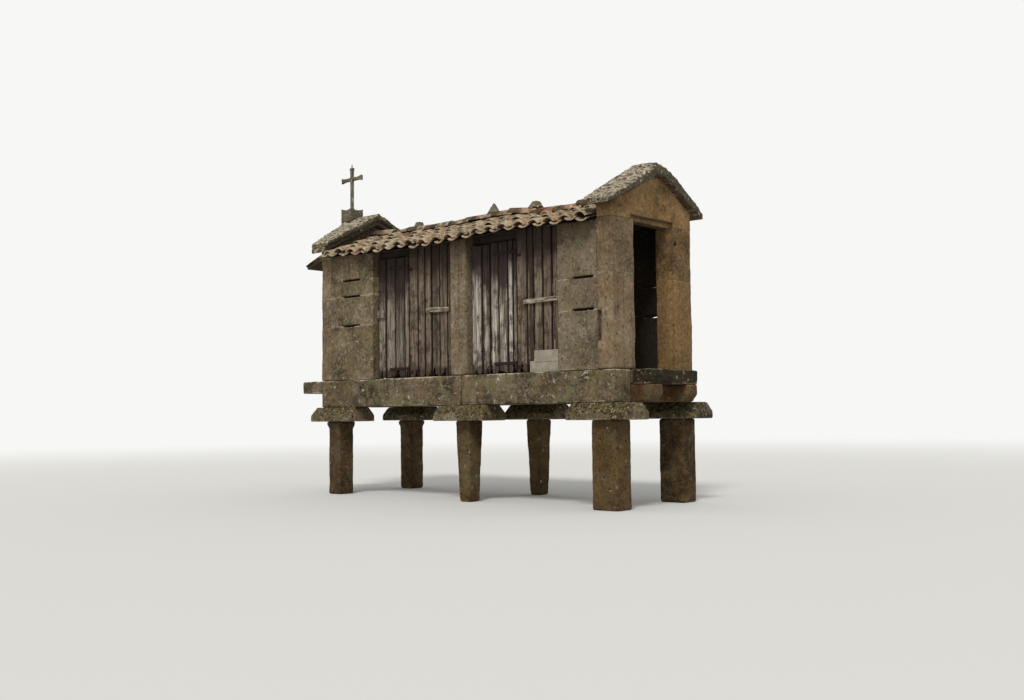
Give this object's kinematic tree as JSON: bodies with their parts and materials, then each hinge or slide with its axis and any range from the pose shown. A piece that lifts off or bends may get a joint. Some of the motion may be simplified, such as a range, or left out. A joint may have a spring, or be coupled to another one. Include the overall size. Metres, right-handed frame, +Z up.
{
  "type": "raised granary",
  "caption": "Raised stone granary on pillars with mushroom caps: boarded bays with plank doors, open gable doorways, tiled roof and a stone cross.",
  "frame": {"origin": "on the ground, under the middle of the whole building's box", "axes": "+X along the granary towards the open doorway end, +Y from the front with the plank doors to the rear, +Z up"},
  "size_m": [5.382, 1.85, 4.447],
  "materials": {
    "pillar_stone": "rough dressed granite",
    "cap_stone": "rough granite with yellow-green lichen",
    "beam_stone": "rough granite with lichen",
    "lichened_stone": "granite under pale grey lichen and moss",
    "wall_stone": "fine dressed granite with rain streaks",
    "cross_stone": "weathered granite",
    "weathered_boards": "silver grey weathered boards",
    "roof_timber": "dark rough-sawn timber",
    "clay_tile": "old terracotta with grey lichen"
  },
  "bodies": {
    "granary": {"ballast_stones": "lichened_stone", "beam_front": "beam_stone", "beam_rear": "beam_stone", "boards_front_left": "weathered_boards", "boards_front_right": "weathered_boards", "boards_rear": "weathered_boards", "cap_front_centre": "cap_stone", "cap_front_left": "cap_stone", "cap_front_right": "cap_stone", "cap_rear_centre": "cap_stone", "cap_rear_left": "cap_stone", "cap_rear_right": "cap_stone", "coping_bed_left": "lichened_stone", "coping_left_front": "lichened_stone", "coping_left_rear": "lichened_stone", "coping_right_front": "lichened_stone", "coping_right_rear": "lichened_stone", "cross": "cross_stone", "cross_pedestal": "cross_stone", "doorstep_left": "lichened_stone", "doorstep_right": "lichened_stone", "floor": "beam_stone", "gable_left": "wall_stone", "gable_right": "wall_stone", "hood_left": "clay_tile", "jamb_left_front": "wall_stone", "jamb_left_rear": "wall_stone", "jamb_right_front": "wall_stone", "jamb_right_rear": "wall_stone", "pier_front_centre": "wall_stone", "pier_front_left": "wall_stone", "pier_front_right": "wall_stone", "pier_rear_centre": "wall_stone", "pier_rear_left": "wall_stone", "pier_rear_right": "wall_stone", "pillar_front_centre": "pillar_stone", "pillar_front_left": "pillar_stone", "pillar_front_right": "pillar_stone", "pillar_rear_centre": "pillar_stone", "pillar_rear_left": "pillar_stone", "pillar_rear_right": "pillar_stone", "ridge_tiles": "clay_tile", "roof_front": "clay_tile", "roof_rear": "clay_tile", "roof_timbers": "roof_timber", "sill_left": "beam_stone", "sill_right": "beam_stone"},
    "left_leaf": {"door_left": "weathered_boards"},
    "right_leaf": {"door_right": "weathered_boards"}
  },
  "joints": [
    {"name": "left_door_hinge", "type": "hinge", "parent": "granary", "child": "left_leaf", "pos_m": [-0.667, -0.669, 1.44], "axis": [0, 0, 1], "range_deg": [0, 100]},
    {"name": "right_door_hinge", "type": "hinge", "parent": "granary", "child": "right_leaf", "pos_m": [1.063, -0.669, 1.44], "axis": [0, 0, 1], "range_deg": [0, 100]}
  ]
}
